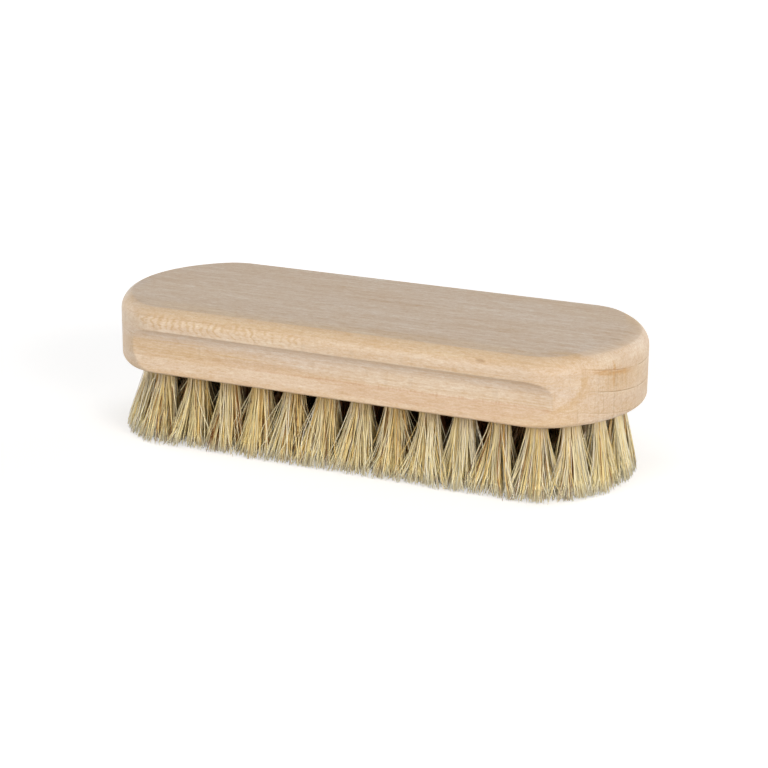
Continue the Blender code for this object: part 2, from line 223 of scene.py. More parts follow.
# Beech, bare and sanded: growth rings nearly level, rays standing on them, fine pores along the block
beech = dict(
    colours=dict(
        pale=(0.72, 0.565, 0.405),
        middle=(0.67, 0.508, 0.358),
        ochre=(0.64, 0.455, 0.27),
        pink=(0.61, 0.425, 0.272),
        # painted cool shade for the groove
        grey=(0.68, 0.555, 0.445),
        rust=(0.58, 0.375, 0.185),
        stained=(0.56, 0.31, 0.11),
        blush=(0.57, 0.35, 0.21),
        # painted cool shade for the left end
        ash=(0.585, 0.53, 0.485),
        cream=(0.80, 0.66, 0.49),
        latewood=(0.44, 0.28, 0.15),
        ray=(0.48, 0.32, 0.19),
        # painted shade for the flat top, darker and greyer as under cool light from above
        top=(0.635, 0.503, 0.384),
    ),
    cloudTones=[(0.34, "pale"), (0.52, "middle"), (0.72, "ochre")],
    # Noises: size on each axis, detail, roughness, shift, and for a mask where it is 0 and 1, and its least
    noises=dict(
        cloud=((52, 15, 7), 3, 0.5, 7.73),
        streak=((26, 1.2, 0.85), 4, 0.62, 0.29),
        lines=((34, 2, 0.34), 2, 0.5, 13.41),
        mottle=((4.2, 1.7, 1.3), 2, 0.5, 17.61),
        fibre=((1.9, 0.55, 0.48), 3, 0.65, 2.27),
        grain=((0.62, 0.24, 0.22), 2, 0.7, 4.39),
        dash=((2.6, 1, 3), 3, 0.65, 29.77),
        topCloud=((30, 6.5, 9), 3, 0.6, 61.23),
        wander=((60, 24, 24), 3, 0.45, 3.17),
        curlBend=((6, 5, 2.6), 2, 0.6, 31.37),
        curlBroken=((4.6, 5, 2.4), 2, 0.5, 37.91, 0.32, 0.56),
        broken=((9, 6, 6), 3, 0.5, 19.31, 0.34, 0.56),
        ticks=((0.50, 3, 4), 2, 0.5, 43.13, 0.50, 0.66),
        rays=((2.2, 0.20, 7), 1, 0.5, 11.37, 0.58, 0.72),
        endRays=((2.4, 0.50, 13), 1, 0.5, 23.43, 0.54, 0.70),
        endRayGroups=((7, 5, 8), 2, 0.5, 53.71, 0.40, 0.58, 0.25),
        topLines=((20, 0.36, 3), 3, 0.6, 47.19, 0.50, 0.70),
        pores=((1.25, 0.13, 0.13), 2, 0.7, 5.33, 0.60, 0.74),
    ),
    # Growth rings
    ringGap=5.75,
    ringLevel=25.46,  # height of the lowest ring line in the middle of the front
    frontAt=-27,  # along Y
    ringClimb=0.006,  # how far a ring climbs per millimetre along the block
    ringTilt=0.03,  # how far it drops per millimetre towards the back
    ringDip=0.00685,  # and at the right end, times the square of the way past ringDipFrom
    ringDipFrom=52.0,
    ringWander=0.35,
    # Curl: crescents in the shoulder at the front, where it cuts along a ring
    curlLevel=35.6,
    curlGap=2.15,
    curlBow=0.34,
    curlStray=4.8,
    curlStrong=((-31, -29, 35.4), (35, 8, 2.9)),
    curlUnbroken=((-50, -29, 35.6), (11, 8, 2.6)),
    curlFaint=((14, -29, 35.2), (66, 8, 3.0)),
    curlFaintPart=0.18,
    # A healed streak comes down the front right corner, and bends in under the groove's end
    scarTop=67,
    scarLevel=31.4,
    scarFall=8,
    scarBend=9.5,
    scarStray=1.6,
    scarWidth=(0.0, 0.5, 1.2, 2.3),  # half of it is 1.2 mm at its level, and 2.3 mm half a fall below
    stainUnder=0.45,  # a stain's middle lies this far under the third ring line
    stainStray=1.6,
    # Lines at a depth below the lowest ring line: the depth, and how far from it they end and are full
    depthLines=dict(tickLine=(-0.15, 0.75, 0.10), underEdge=(2.75, 0.30, 0.05), lowest=(0.0, 0.34, 0.08)),
    # Masks: what they follow, where they are 0 and 1, and, if it isn't 0 and 1, their least and most.
    # The ringShare is counted down from one ring line to the next.
    masks=dict(
        endFace=("endGrain", 0.35, 0.80),
        topFace=("upward", 0.992, 0.9995),
        fine=("lines", 0.36, 0.58, 0.4),
        lineFrom=("ringShare", 0.925, 0.98),
        lineTo=("ringShare", 1, 0.99),
        belowLine=("ringShare", 0.09, 0),
        darkFrom=("ringShare", 0.45, 0.97),
        darkTo=("ringShare", 1, 0.985),
        rightEnd=("x", 60, 74),
        linePart=("endFace rightEnd", 0, 1, 0.20, 0.92),
        lineLow=("z", 25.5, 28, 0.5),
        belowPart=("endFace rightEnd", 0, 1, 0.12, 0.40),
        underFrom=("depth", -0.05, 0.20),
        underTo=("depth", 2.75, 2.45),
        curlDark=("curl", 0, 0.95),
        curlPale=("curl", -0.05, -0.9),
        drawn=("lines", 0.50, 0.62),
        scar=("scarAway", 1, 0.25),
        scarFront=("y", -8, -16),
        scarUnder=("z", 37, 34),
        scarOver=("z", 23.6, 26),
        scarMottle=("mottle", 0.38, 0.60, 0.45),
        stain=("stainAway", 1.25, 0.10),
        stainLines=("lines", 0.34, 0.56, 0.50),
        rayPart=("topFace", 0, 1, 0.22, 0.45),
        endRayFrom=("fromMiddle", 62.5, 66.5),
        endRayUnder=("z", 37, 34, 0.25),
        dashPart=("dashPatch", 0, 1, 0.22, 0.48),
        topCloudPart=("x", -60, 5, 0.10, 0.34),
        topBoost=("x", -60, 5, 0.1, 0.2),  # how much stronger the noises are on the flat top
        bump=("topFace", 0, 1, 0.07, 0.008),
    ),
    # Layers of colour over the clouds: colour, the most of it, masks, and the centre and reach of its place
    ground=[
        ("ochre", 0.25, "darkFrom darkTo"),
        # Painted shade: the flat top darker and greyer
        ("top", 0.60, "topFace"),
    ],
    # Places where this board is another colour, and places of painted shade, all with the mask fine
    tints=[
        # Painted cool shade in the groove, under its upper edge
        ("grey", 0.85, (12, -27, 30.3), (84, 7, 4.6)),
        # Painted cool shade on the left end
        ("ash", 0.95, (-73, -6, 30), (9, 30, 13)),
        # Painted cool shade in the groove at the left
        ("grey", 0.80, (-42, -29, 31.2), (34, 9, 3)),
        ("ochre", 0.42, (-46, -29, 27.9), (38, 9, 3.4)),
        # Painted cool shade in the groove at the right
        ("grey", 0.32, (50, -28, 28.5), (26, 8, 5)),
        ("ochre", 0.26, (4, -29, 35.2), (40, 8, 2.8)),
        ("rust", 0.20, (-48, -29, 28.6), (32, 9, 1.2)),
        ("pink", 0.80, (-24, -29, 26.6), (22, 9, 1.6)),
        ("rust", 0.42, (10, -29, 21.4), (90, 12, 1.9)),
        ("pink", 0.80, (40, -29, 22.6), (34, 9, 2.4)),
        ("ochre", 0.85, (-30, -27, 37.2), (52, 8, 3.4)),
        ("ochre", 0.80, (30, -28, 37.6), (60, 8, 2)),
        ("ochre", 0.80, (73.5, -8, 30.9), (9, 14, 3.6)),
        ("latewood", 0.95, (41.6, -29, 36.8), (1.8, 4, 0.70)),
        ("rust", 0.85, (14.9, -29, 26.3), (2.6, 4, 0.70)),
        ("ray", 0.80, (68.5, -2.9, 39), (2.4, 0.8, 1)),
        ("ray", 0.45, (-60.6, -23.6, 38.9), (3, 1.6, 0.8)),
        ("ochre", 0.85, (-66, -22.5, 37.6), (7.5, 8, 2.4)),
        ("rust", 0.30, (-66.5, -22.5, 38), (6, 6, 1.5)),
        ("ochre", 0.10, (-40, 2, 39.2), (56, 36, 2.5)),
        ("ochre", 0.40, (-46, -22.5, 39), (17, 4, 2)),
        ("ochre", 0.85, (58, -27, 22.6), (15, 9, 2.8)),
        ("ray", 0.27, (57, -26, 33), (14, 10, 9)),
        ("rust", 0.75, (61.8, -21.5, 38.8), (7, 3.8, 1.8)),
        ("stained", 0.80, (71.9, -14, 33.4), (1.6, 0.7, 4.8)),
        ("rust", 0.55, (73.6, -9.6, 31.6), (1.6, 0.8, 2.8)),
        ("pale", 0.90, (30, -28, 28), (46, 8, 3.4)),
        ("ochre", 0.55, (20, -25, 38.4), (78, 5, 2.4)),
    ],
    figure=[
        # Below the lowest ring line the front is pink, paler at its left, down to a fine edge
        ("pink", 0.80, "underFrom underTo", (30, -29, 25), (46, 9, 6)),
        ("pale", 0.30, "underFrom underTo", (-40, -29, 24.6), (32, 9, 6)),
        ("blush", 0.62, "ticks tickLine", (24, -29, 26), (54, 9, 6)),
        ("blush", 0.40, "underEdge", (30, -29, 23.5), (42, 9, 6)),
        ("rust", 0.60, "curlDark"),
        ("pale", 0.45, "curlPale"),
        ("rust", 0.68, "drawn", (-44, -29, 28), (38, 9, 4.4)),
        ("rust", 0.72, "scar scarFront scarUnder scarOver scarMottle"),
        # Ring lines, clearest on the right end, and a stain along one of them
        ("latewood", 1, "lineFrom lineTo broken linePart lineLow"),
        ("cream", 1, "belowLine broken belowPart"),
        ("blush", 0.42, "lowest", (14, -29, 26), (66, 9, 6)),
        ("stained", 0.90, "stain stainLines", (72, -14.5, 33.8), (8.5, 10.5, 6)),
        # Rays: dashes from above and faint ribbons on the sides, then upright lines in groups on the ends
        ("ray", 1, "rays rayPart"),
        ("ray", 0.50, "endRays endFace endRayUnder endRayFrom endRayGroups"),
        ("ray", 0.22, "topLines topFace"),
        ("ray", 0.42, "pores"),
    ],
    # How strongly each of these lightens and darkens the wood
    lightParts=dict(streak=0.24, lines=0.24, mottle=0.20, fibre=0.52, grain=0.46),
    dashPlace=((-16, -21, 39), (38, 8, 5)),  # where the dashes on the flat top are strongest
    allOver=(0.968, 0.968, 0.968),  # the wood as a whole
    warmDark=(0.60, 1.14, 1.84),  # darker spots lose less red than blue
    roughness=0.46,
    roughFibre=0.16,  # and how much the fibres add
    bumpHeight=0.06,
    poreDepth=0.6,
)


def ringFigure(tree, wood, look):
    # A ring keeps one value of z - climb * x + tilt * y + dip * (x past dipFrom) squared + wander. The depth
    # is how far it is below the lowest ring line's, and the ringShare what is left after whole gaps.
    height = timesPlus(tree, wood["x"], -look["ringClimb"], wood["z"])
    height = timesPlus(tree, wood["y"], look["ringTilt"], height)
    past = reckon(tree, "MAXIMUM", reckon(tree, "SUBTRACT", wood["x"], look["ringDipFrom"]), 0.0)
    height = timesPlus(tree, times(tree, past, past), look["ringDip"], height)
    height = timesPlus(tree, wood["wander"], 2 * look["ringWander"], height)
    level = look["ringLevel"] + look["frontAt"] * look["ringTilt"] + look["ringWander"]
    depth = reckon(tree, "SUBTRACT", level, height)
    return depth, reckon(tree, "FRACT", reckon(tree, "DIVIDE", depth, look["ringGap"]))


def curlFigure(tree, wood, look):
    # Crescents side by side along the block: the sine of x - bow * rise squared + stray, with rise the height
    # above their level
    rise = reckon(tree, "SUBTRACT", wood["z"], look["curlLevel"])
    along = timesPlus(tree, times(tree, rise, rise), -look["curlBow"], wood["x"])
    along = timesPlus(tree, wood["curlBend"], look["curlStray"], along)
    wave = reckon(tree, "SINE", times(tree, along, 2 * math.pi / look["curlGap"]))
    strong = times(tree, patch(tree, wood["place"], *look["curlStrong"]), wood["curlBroken"])
    strong = reckon(tree, "MAXIMUM", strong, patch(tree, wood["place"], *look["curlUnbroken"]))
    faint = patch(tree, wood["place"], *look["curlFaint"])
    return times(tree, wave, timesPlus(tree, faint, look["curlFaintPart"], strong))


def scarFigure(tree, wood, look):
    # Distance from the streak's middle, in half widths. The middle is at x = top - bend * fall squared, moved
    # by the mottle, with fall the way below its level as a share of scarFall.
    fall = reckon(tree, "DIVIDE", reckon(tree, "SUBTRACT", look["scarLevel"], wood["z"]), look["scarFall"])
    fall = reckon(tree, "MAXIMUM", fall, 0.0)
    away = reckon(tree, "ADD", wood["x"], times(tree, fall, fall, look["scarBend"]))
    away = reckon(tree, "SUBTRACT", away, look["scarTop"] + look["scarStray"] / 2)
    away = timesPlus(tree, wood["mottle"], look["scarStray"], away)
    return reckon(tree, "DIVIDE", reckon(tree, "ABSOLUTE", away), between(tree, fall, *look["scarWidth"]))


def stainFigure(tree, wood, look):
    # Distance from the stain's middle, less where the mottle is high
    level = 2 * look["ringGap"] - look["stainUnder"]
    away = reckon(tree, "ABSOLUTE", reckon(tree, "ADD", wood["depth"], level))
    away = reckon(tree, "ADD", away, look["stainStray"] / 2)
    return timesPlus(tree, wood["mottle"], -look["stainStray"], away)


def product(tree, wood, names):
    # The product of the values with these names
    return times(tree, *(wood[name] for name in names.split()))


def readWood(tree, look):
    # What the colour is made from, by name: place in millimetres, the way it faces, noises, figures, masks
    texture = addNode(tree, "TexCoord").outputs["Object"]
    place = addNode(tree, "VectorMath", {0: texture, "Scale": 1 / mm}, operation="SCALE").outputs[0]
    axes = addNode(tree, "SeparateXYZ", {0: place}).outputs
    wood = dict(place=place, x=axes["X"], y=axes["Y"], z=axes["Z"])
    wood["fromMiddle"] = reckon(tree, "ABSOLUTE", wood["x"])
    wood["endGrain"], wood["upward"] = readValue(tree, "endGrain"), readValue(tree, "upward")
    for name, (size, detail, roughness, shift, *ends) in look["noises"].items():
        noise = stretchedNoise(tree, place, size, detail, roughness, shift)
        wood[name] = between(tree, noise, *ends) if ends else noise
    wood["depth"], wood["ringShare"] = ringFigure(tree, wood, look)
    for name, (depth, none, full) in look["depthLines"].items():
        away = reckon(tree, "ABSOLUTE", reckon(tree, "SUBTRACT", wood["depth"], depth))
        wood[name] = between(tree, away, none, full)
    wood["curl"] = curlFigure(tree, wood, look)
    wood["scarAway"] = scarFigure(tree, wood, look)
    wood["stainAway"] = stainFigure(tree, wood, look)
    wood["dashPatch"] = patch(tree, place, *look["dashPlace"])
    for name, (follows, *ends) in look["masks"].items():
        wood[name] = between(tree, product(tree, wood, follows), *ends)
    return wood


def layeredColour(tree, wood, look):
    # Broad clouds, then each layer's colour, by the product of its masks, its place and the most of it
    colours = look["colours"]
    colour = colourRamp(tree, wood["cloud"], [(stop, colours[name]) for stop, name in look["cloudTones"]])
    tints = [(name, most, "fine", *where) for name, most, *where in look["tints"]]
    for name, most, masks, *where in look["ground"] + tints + look["figure"]:
        parts = [product(tree, wood, masks)] + ([patch(tree, wood["place"], *where)] if where else [])
        colour = tinted(tree, colour, colours[name], *parts, most)
    return colour


def swing(tree, noise, where, part):
    # 1, plus a part of how far the noise is from its middle, as far as it applies there
    away = times(tree, reckon(tree, "SUBTRACT", noise, 0.5), where)
    return timesPlus(tree, away, part, 1.0)


def lightAndDark(tree, wood, look):
    # The product of all the swings, the dashes and clouds on the flat top only. What it is above or below 1
    # is then shared out over red, green and blue.
    light = times(tree, swing(tree, wood["dash"], wood["topFace"], wood["dashPart"]),
                  swing(tree, wood["topCloud"], wood["topFace"], wood["topCloudPart"]))
    boost = timesPlus(tree, wood["topBoost"], wood["topFace"], 1.0)
    for name, part in look["lightParts"].items():
        light = times(tree, swing(tree, wood[name], boost, part), light)
    scale = reckon(tree, "SUBTRACT", light, 1.0)
    dark = addNode(tree, "VectorMath", {0: look["warmDark"], "Scale": scale}, operation="SCALE").outputs[0]
    return addNode(tree, "VectorMath", {0: dark, 1: look["allOver"]}, operation="ADD").outputs[0]


def beechMaterial(look):
    # Layers of colour, times the light and dark; fibres and grain stand out, and pores are sunk in
    material, tree, shader = newMaterial("beech")
    wood = readWood(tree, look)
    colour = layeredColour(tree, wood, look)
    light = lightAndDark(tree, wood, look)
    colour = addNode(tree, "VectorMath", {0: colour, 1: light}, operation="MULTIPLY").outputs[0]
    tree.links.new(colour, shader.inputs["Base Color"])

    rough = timesPlus(tree, wood["fibre"], look["roughFibre"], look["roughness"])
    tree.links.new(rough, shader.inputs["Roughness"])
    height = reckon(tree, "ADD", wood["fibre"], wood["grain"])
    height = reckon(tree, "SUBTRACT", height, times(tree, wood["pores"], look["poreDepth"]))
    inputs = {"Height": height, "Strength": wood["bump"], "Distance": look["bumpHeight"] * mm}
    tree.links.new(addNode(tree, "Bump", inputs).outputs[0], shader.inputs["Normal"])
    return material


# Natural bristle. The place along a hair is 0 at its tip and 1 at the mouth of its hole
bristle = dict(
    tones=[(0.0, (0.16, 0.065, 0.025)), (0.08, (0.42, 0.20, 0.07)), (0.17, (0.74, 0.48, 0.18)),
           (0.34, (1.0, 0.74, 0.29)), (0.56, (1.0, 0.845, 0.42)), (0.82, (1.0, 0.90, 0.57)),
           (1.0, (0.98, 0.93, 0.75))],
    tipGrey=(0.90, 0.86, 0.72),
    tipAlong=(0.22, 0.0, 0.0, 0.42),  # where along a hair it sets in and is full, and its least and most
    # painted shade: hairs darker and browner towards their roots, where the block and the other hairs shade
    # them
    paintedRootShade=(0.52, 0.33, 0.13),
    rootAlong=(0.62, 1.1, 0.0, 0.82),
    paintedDeepShade=(0.26, 0.10, 0.038),  # painted shade, inside the tufts and between them
    deepAlong=(0.05, 0.62),
    roughness=0.42,
    specular=0.03,
)


def bristleMaterial(look):
    # The tone's colour, greyer at the tip, with painted shade towards the root, and more painted shade the
    # deeper the hair stands
    material, tree, shader = newMaterial("bristle")
    along = readValue(tree, "along")
    colour = colourRamp(tree, readValue(tree, "tone"), look["tones"])
    colour = tinted(tree, colour, look["tipGrey"], between(tree, along, *look["tipAlong"]))
    colour = tinted(tree, colour, look["paintedRootShade"], between(tree, along, *look["rootAlong"]))
    # Painted shade, strongest towards the roots, for the hairs that stand deep among the others
    deep = between(tree, along, *look["deepAlong"])
    colour = tinted(tree, colour, look["paintedDeepShade"], deep, readValue(tree, "deep"))
    tree.links.new(colour, shader.inputs["Base Color"])
    shader.inputs["Roughness"].default_value = look["roughness"]
    shader.inputs["Specular IOR Level"].default_value = look["specular"]
    return material


# Steel wire, with fine marks where it was drawn
steel = dict(
    tones=[(0.3, (0.42, 0.41, 0.39)), (0.7, (0.60, 0.59, 0.57))],
    drawnSize=(4.0, 0.1, 0.1),
    roughness=0.38,
)


def steelMaterial(look):
    # Two tones of grey in a noise stretched along the wire
    material, tree, shader = newMaterial("staple_wire")
    place = addNode(tree, "TexCoord").outputs["Object"]
    drawn = stretchedNoise(tree, place, [size * mm for size in look["drawnSize"]])
    tree.links.new(colourRamp(tree, drawn, look["tones"]), shader.inputs["Base Color"])
    shader.inputs["Metallic"].default_value = 1.0
    shader.inputs["Roughness"].default_value = look["roughness"]
    return material


beechWood = beechMaterial(beech)
bristleHair = bristleMaterial(bristle)
stapleWire = steelMaterial(steel)
print("materials made")


# Wooden block, finer than its CAD node
block = dict(
    cornerRadius=15.3,
    endBow=7,  # how far an end swells out past its two corners
    topRound=4.5,
    topTurn=66,  # how far the round-over turns before it meets the flat top at a sanded edge
    topEdge=0.7,
    endSanding=(3.2, 0.30),  # the right end's top edge is sanded off, this far in and this far down
    endSandingFacing=(0.66, 0.92),  # how squarely the side faces to the right where that sets in and is full
    bottomRound=1.5,
    upperBand=1.5,  # flat wall between the round-over and the groove
    grooveDepth=2.2,
    grooveArc=4.2,  # from the groove's upper edge down to its upright wall
    grooveWall=3,
    flankAngle=23,
    edgeEase=0.14,  # how softly the groove's edges are sanded
    flankEase=0.25,
    holeRadius=2.8,
    holeFloor=7.2,  # wood left above a hole
    holeChamfer=0.15,
    drillPoint=0.6,
    holeSides=32,
    sideStep=1.7,
    curveStep=0.36,
    bottomRows=9,
    wallSteps=(0.3, 0.07, 0.25),  # between rows below the groove's edge, round it and above it
    edgeSpan=(0.8, 0.7),  # how far the closer rows reach down and up from it
    topRows=17,
    topEdgeRows=6,
    topStrips=14,
    sharpAngle=35,
)


def nodeBox(node):
    # The low and high corners of a CAD node, in millimetres
    low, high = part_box(node)
    return np.array(low) / mm, np.array(high) / mm


def outlineLoop(form, halfLength, halfWidth):
    # Points and outward directions round the block, anticlockwise from the front's middle.
    # A quarter is a straight side, a corner arc, and the flatter arc of the end, each tangent to the next.
    corner = form["cornerRadius"]
    cornerX = halfLength - corner - form["endBow"]
    cornerY = halfWidth - corner
    reach = corner + form["endBow"]
    end = (reach ** 2 + cornerY ** 2 - corner ** 2) / (2 * form["endBow"])
    endTurn = math.asin(cornerY / (end - corner))
    side = np.linspace(0, cornerX, round(cornerX / form["sideStep"]) + 1)
    cornerSteps = round(corner * (math.pi / 2 - endTurn) / form["curveStep"])
    cornerArc = np.linspace(-math.pi / 2, -endTurn, cornerSteps + 1)[1:]
    endArc = np.linspace(-endTurn, 0, round(end * endTurn / form["curveStep"]) + 1)[1:]
    straight = np.stack([0 * side, 0 * side - 1], -1)
    outward = np.concatenate([straight, roundTurn(cornerArc), roundTurn(endArc)])
    centre = np.concatenate([np.stack([side, 0 * side], -1),
                             np.tile((cornerX, -cornerY), (len(cornerArc), 1)),
                             np.tile((halfLength - end, 0), (len(endArc), 1))])
    radius = np.concatenate([0 * side + halfWidth, 0 * cornerArc + corner, 0 * endArc + end])
    points = centre + outward * radius[:, None]
    flip = np.array((1, -1))
    halfPoints = np.concatenate([points, (points * flip)[-2::-1]])
    halfOutward = np.concatenate([outward, (outward * flip)[-2::-1]])
    return (np.concatenate([halfPoints[:-1], -halfPoints[:-1]]),
            np.concatenate([halfOutward[:-1], -halfOutward[:-1]]))


def blockRows(form, height):
    # Inset from the outline and height above the underside, from the lower rim up to the flat top: a quarter
    # circle, the wall, an arc that stops short of level, and a smaller one that ends level
    low, top = form["bottomRound"], form["topRound"]
    turn = np.linspace(0, math.pi / 2, form["bottomRows"])
    edge = height - top - form["upperBand"]
    down, up = form["edgeSpan"]
    below, near, above = form["wallSteps"]
    wall = np.concatenate([np.arange(low, edge - down, below)[1:], np.arange(edge - down, edge + up, near),
                           np.arange(edge + up, height - top, above)])
    inset = np.concatenate([low * (1 - np.sin(turn)), 0 * wall])
    level = np.concatenate([low * (1 - np.cos(turn)), wall])
    last, ease = math.radians(form["topTurn"]), form["topEdge"]
    radius = (top - ease * (1 - math.sin(last))) / math.sin(last)
    turn = np.linspace(0, last, form["topRows"])
    inset = np.concatenate([inset, radius * (1 - np.cos(turn))])
    level = np.concatenate([level, height - top + radius * np.sin(turn)])
    turn = np.linspace(last, math.pi / 2, form["topEdgeRows"])[1:]
    return (np.concatenate([inset, inset[-1] + ease * (math.cos(last) - np.cos(turn)), [inset[-1] + ease]]),
            np.concatenate([level, height - ease * (1 - np.sin(turn)), [height]]))


def grooveDepth(form, height, level):
    # An arc below the groove's upper edge, an upright wall, then a flank that runs out. Negative above it
    deep, drop = form["grooveDepth"], form["grooveArc"]
    radius = (drop ** 2 + deep ** 2) / (2 * deep)
    centre = height - form["topRound"] - form["upperBand"] - drop
    arc = deep - radius + np.sqrt(np.maximum(radius ** 2 - np.maximum(level - centre, 0) ** 2, 0))
    flank = deep - (centre - form["grooveWall"] - level) * math.tan(math.radians(form["flankAngle"]))
    return softMin(arc, flank, form["flankEase"])


def endSanding(form, height, level, facing):
    # How much further in each row is drawn at the right end: the reach, times how far the row is up the drop,
    # times the eased step of how squarely the side faces, its share squared * (3 - 2 * share)
    reach, drop = form["endSanding"]
    low, high = form["endSandingFacing"]
    share = np.clip((facing - low) / (high - low), 0, 1)
    rise = np.clip((level - height + drop) / drop, 0, 1)
    return rise[:, None] * (reach * share ** 2 * (3 - 2 * share))[None]


def tuftPlaces(near=0.1):
    # The middle of each tuft's hole, from points this near to the staple's top, and of its tips likewise
    places = {}
    for name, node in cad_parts.items():
        if "tuft" in name:
            points = np.array([vertex.co for vertex in node.data.vertices]) / mm
            top = points[points[:, 2] > points[:, 2].max() - near, :2]
            tips = np.unique(np.round(points[points[:, 2] < near, :2], 2), axis=0)
            places[name] = (top.min(0) + top.max(0)) / 2, tips.mean(0)
    return places


def makeBlock(form, places):
    low, high = nodeBox("wood_block")
    base, height = low[2], high[2] - low[2]
    outline, outward = outlineLoop(form, high[0], high[1])
    inset, level = blockRows(form, height)
    around = len(outline)

    # Wall: the outline drawn in by each row's inset, then held inside the groove's plane
    drawnIn = inset[:, None] + endSanding(form, height, level, outward[:, 0])
    wall = outline[None] - drawnIn[..., None] * outward[None]
    limit = high[1] - grooveDepth(form, height, level)[:, None]
    across = np.sign(wall[..., 1]) * softMin(np.abs(wall[..., 1]), limit, form["edgeEase"])
    up = np.broadcast_to(base + level[:, None], across.shape)
    points = [np.stack([wall[..., 0], across, up], -1).reshape(-1, 3)]
    faces = gridFaces(len(level), around, closed=True).tolist()

    # Top: strips from the front half of the upper rim to the back half
    rim = points[0][-around:]
    quarter = around // 4
    front = np.roll(rim, quarter, 0)[:2 * quarter + 1]
    share = np.linspace(0, 1, form["topStrips"] + 1)[:, None, None]
    strips = front[None] * (1 - share) + front[None] * (1, -1, 1) * share
    faces += gridFaces(len(share), len(front), sum(map(len, points))).tolist()
    points.append(strips.reshape(-1, 3))

    # Holes: a chamfered mouth, a straight wall and the drill's pointed end
    depth = height - form["holeFloor"]
    circle = roundTurn(np.linspace(0, 2 * math.pi, form["holeSides"], endpoint=False))
    radii = np.array([form["holeRadius"] + form["holeChamfer"]] + 4 * [form["holeRadius"]] + [0])
    depths = np.array([0, form["holeChamfer"], depth / 3, depth * 2 / 3, depth, depth + form["drillPoint"]])
    for centre, _ in places.values():
        hole = centre + circle[None] * radii[:, None, None]
        up = np.broadcast_to((base + depths)[:, None, None], (*hole.shape[:2], 1))
        faces += gridFaces(len(radii), len(circle), sum(map(len, points)), closed=True)[:, ::-1].tolist()
        points.append(np.concatenate([hole, up], -1).reshape(-1, 3))

    # Underside: flat wood between the lower rim and the holes
    mouths = [centre + circle * radii[0] for centre, _ in places.values()]
    flat = np.concatenate([points[0][:around, :2]] + mouths)
    loops = [list(range(around))]
    loops += [list(range(first, first + len(circle))) for first in range(around, len(flat), len(circle))]
    made = delaunay_2d_cdt([Vector(point) for point in flat], [], loops, 2, 1e-5)  # 2 leaves the holes open
    under = np.array([(*point, base) for point in made[0]])
    first = sum(map(len, points))
    faces += [[first + index for index in reversed(face)] for face in made[2]]
    points.append(under)

    piece = newPiece("beech_block", np.concatenate(points), faces, beechWood)
    mergeDoubles(piece.data)
    smoothBelow(piece.data, form["sharpAngle"])

    # Which way the wood faces, for the end grain and the top
    normals = np.zeros(3 * len(piece.data.vertices), np.float32)
    piece.data.vertex_normals.foreach_get("vector", normals)
    normals = normals.reshape(-1, 3)
    storeValues(piece.data, "endGrain", np.abs(normals[:, 0]))
    storeValues(piece.data, "upward", np.maximum(normals[:, 2], 0))
    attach(piece, "root")
    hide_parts("wood_block")


places = tuftPlaces()
makeBlock(block, places)
print("block made, with", len(places), "holes")


# Tufts: bundles of hairs folded over a staple in their hole, and trimmed level
tuft = dict(
    hairs=225,  # each is folded, so it has two ends
    hairRadius=(0.062, 0.150),
    tipThin=(0.25, 0.72),  # over this share of a hair it thins, down to this share of its radius at the tip
    bundleRadius=2.55,
    firstSeed=1000,
    # Where the tips are
    flare=1.10,  # how far they spread, as a share of half the way to the next tuft
    flarePower=0.85,
    leanFrom=(-74, -50, -5, 30, 58, 74),  # places along X, and how far a tuft's tips lean along X there
    leanBy=(-1.1, -1.8, -1.1, 0.0, 0.8, -1.5),
    leanUneven=0.45,
    locks=26,
    lockPull=(0.20, 0.85),  # how far a lock's hairs draw together at the tip
    lockLean=1.75,
    hairLean=(0.65, 3.0),  # of most hairs, and of the few that lean most
    leanPower=3,
    strayShare=0.045,
    strayReach=2.8,
    trimLevel=0.03,
    trimUneven=0.58,
    lockTrim=0.60,
    strayTrim=2,
    # The way there
    bend=(0.30, 0.95),  # 0 is a straight hair, and 1 one that leaves its hole upright
    strayBend=(-0.1, 0.35),
    bow=0.38,
    strayBow=2,  # times as much
    lockBow=0.32,
    wave=0.13,
    rimGap=(4.9, 2.7),  # hairs nearer than this to the outline, at root and tip, are held back
    endGap=dict(left=(3.2, -1.0), right=(2.2, 0.5)),  # and this much more at the block's ends
    endFrom=(50, 62),  # distance from the block's middle
    rimHold=0.55,  # share of what is missing that is kept, and how fast it falls as more is missing
    rimHoldFall=0.25,
    visiblePoints=6,
    foldPoints=3,
    foldHigh=0.85,  # height of the fold as a share of half its width
    foldAlong=1.2,  # the place along a hair that its fold counts as
    # Colour
    lockTone=0.12,
    brownLocks=0.06,  # share of locks of reddish-brown hairs
    brownLockTone=-0.55,
    brownHairs=0.085,
    brownHairTone=-0.75,
    paintedLightFrom=(-74, -30, 40, 70),  # places along X, and how much paler the hair is painted there, a painted light on the tufts towards the block's ends
    paintedLightBy=(0.28, 0.0, 0.17, 0.26),
    toneRange=(0.38, 0.92),
    toneLimits=(0.03, 1.0),
    strayTone=0.85,
    coreReach=1.05,  # share of the radius out to which a ring tuft has a core
    innerCore=0.5,  # how far all of an inner tuft counts as core
    coreShadeTone=0.34,  # how much darker and browner the core is painted, a painted shade for the hairs inside the bundle
    coreDeep=0.50,  # and how much painted shade it gets near its roots
    ringDeep=0.10,  # the least of that painted shade in a ring tuft
    deepFrom=(-60, -15, 25, 45, 62),  # places along X, and the least painted shade in an inner tuft there
    deepBy=(0.50, 0.92, 1.0, 0.92, 0.26),
    stapleLevel=29.3,
    stapleRoom=0.32,
)


